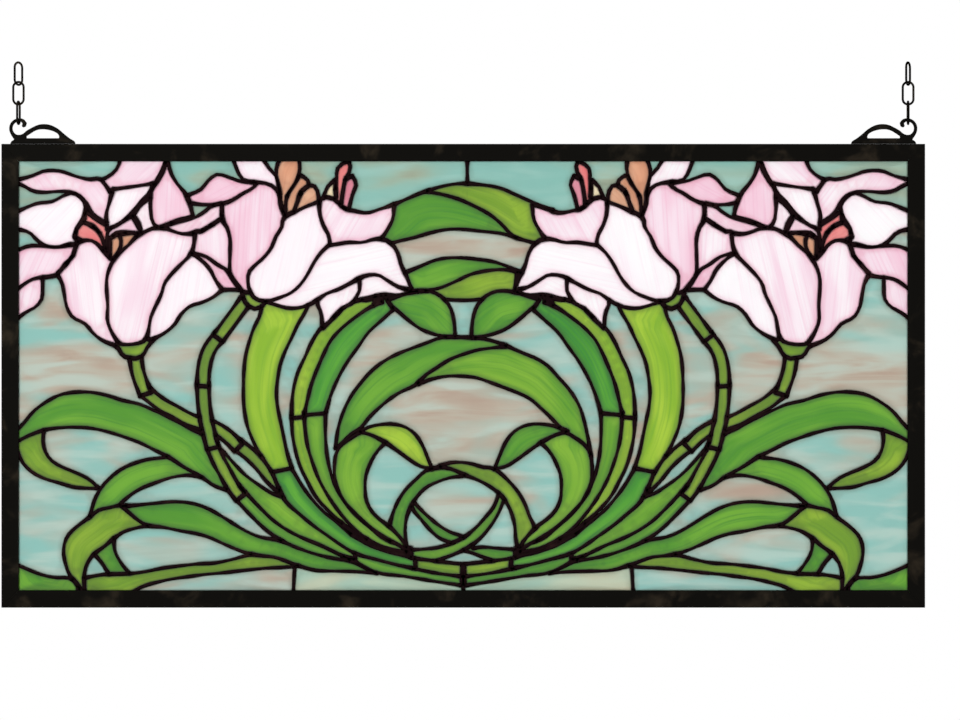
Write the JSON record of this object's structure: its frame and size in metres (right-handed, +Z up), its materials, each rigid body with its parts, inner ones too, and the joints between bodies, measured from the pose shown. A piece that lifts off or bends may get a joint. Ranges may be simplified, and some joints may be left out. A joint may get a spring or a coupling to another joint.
{
  "type": "stained glass window panel",
  "caption": "Wide stained glass panel with mirrored pink lilies and arching green leaves in a black metal channel, hung by scroll hooks and short chains.",
  "frame": {"origin": "midway between the undersides of the two top chain loops, where the panel hangs", "axes": "+X to the right along the panel, +Y from the viewer through the glass, +Z up"},
  "size_m": [0.711, 0.01, 0.4209],
  "materials": {
    "black_metal": "black patina, satin",
    "dark_solder": "dark brown-black patina on solder, rounded beads",
    "pink_glass": "streaky opalescent, pale to deep pink",
    "white_glass": "streaky opalescent white with pink edges",
    "leaf_glass": "streaky leaf green",
    "lime_glass": "streaky yellow green",
    "sky_glass": "wispy opalescent aqua",
    "mauve_glass": "wispy opalescent tan, mauve and aqua"
  },
  "bodies": {
    "root": {"frame_top": "black_metal", "frame_bottom": "black_metal", "frame_left": "black_metal", "frame_right": "black_metal", "hook_left": "black_metal", "hook_right": "black_metal", "link_left_1": "black_metal", "link_left_2": "black_metal", "link_left_3": "black_metal", "link_right_1": "black_metal", "link_right_2": "black_metal", "link_right_3": "black_metal", "solder_seams": "dark_solder", "outer_lily_middle_petal_left": "white_glass", "outer_lily_left_petal_left": "pink_glass", "outer_lily_right_petal_left": "white_glass", "outer_lily_side_petals_left": "white_glass", "outer_lily_upper_petals_left": "pink_glass", "outer_lily_back_petals_left": "pink_glass", "inner_lily_front_petal_left": "white_glass", "inner_lily_left_petals_left": "pink_glass", "inner_lily_upper_petals_left": "pink_glass", "inner_lily_right_petals_left": "pink_glass", "tall_leaf_left": "leaf_glass", "inner_stem_left": "lime_glass", "broad_leaf_left": "leaf_glass", "drooping_leaf_left": "leaf_glass", "arched_leaf_left": "leaf_glass", "bottom_leaf_left": "lime_glass", "long_leaf_left": "lime_glass", "paired_leaves_left": "leaf_glass", "curling_leaf_left": "lime_glass", "outer_lily_middle_petal_right": "white_glass", "outer_lily_left_petal_right": "pink_glass", "outer_lily_right_petal_right": "white_glass", "outer_lily_side_petals_right": "white_glass", "outer_lily_upper_petals_right": "pink_glass", "outer_lily_back_petals_right": "pink_glass", "inner_lily_front_petal_right": "white_glass", "inner_lily_left_petals_right": "pink_glass", "inner_lily_upper_petals_right": "pink_glass", "inner_lily_right_petals_right": "pink_glass", "tall_leaf_right": "leaf_glass", "inner_stem_right": "lime_glass", "broad_leaf_right": "leaf_glass", "drooping_leaf_right": "leaf_glass", "arched_leaf_right": "leaf_glass", "bottom_leaf_right": "lime_glass", "long_leaf_right": "lime_glass", "paired_leaves_right": "leaf_glass", "curling_leaf_right": "lime_glass", "ring_window": "mauve_glass", "arch_leaves": "leaf_glass", "ring": "lime_glass", "heart_leaves": "leaf_glass", "top_arch": "lime_glass", "left_background": "mauve_glass", "right_background": "mauve_glass", "middle_background": "mauve_glass", "top_background": "sky_glass"}
  },
  "joints": []
}
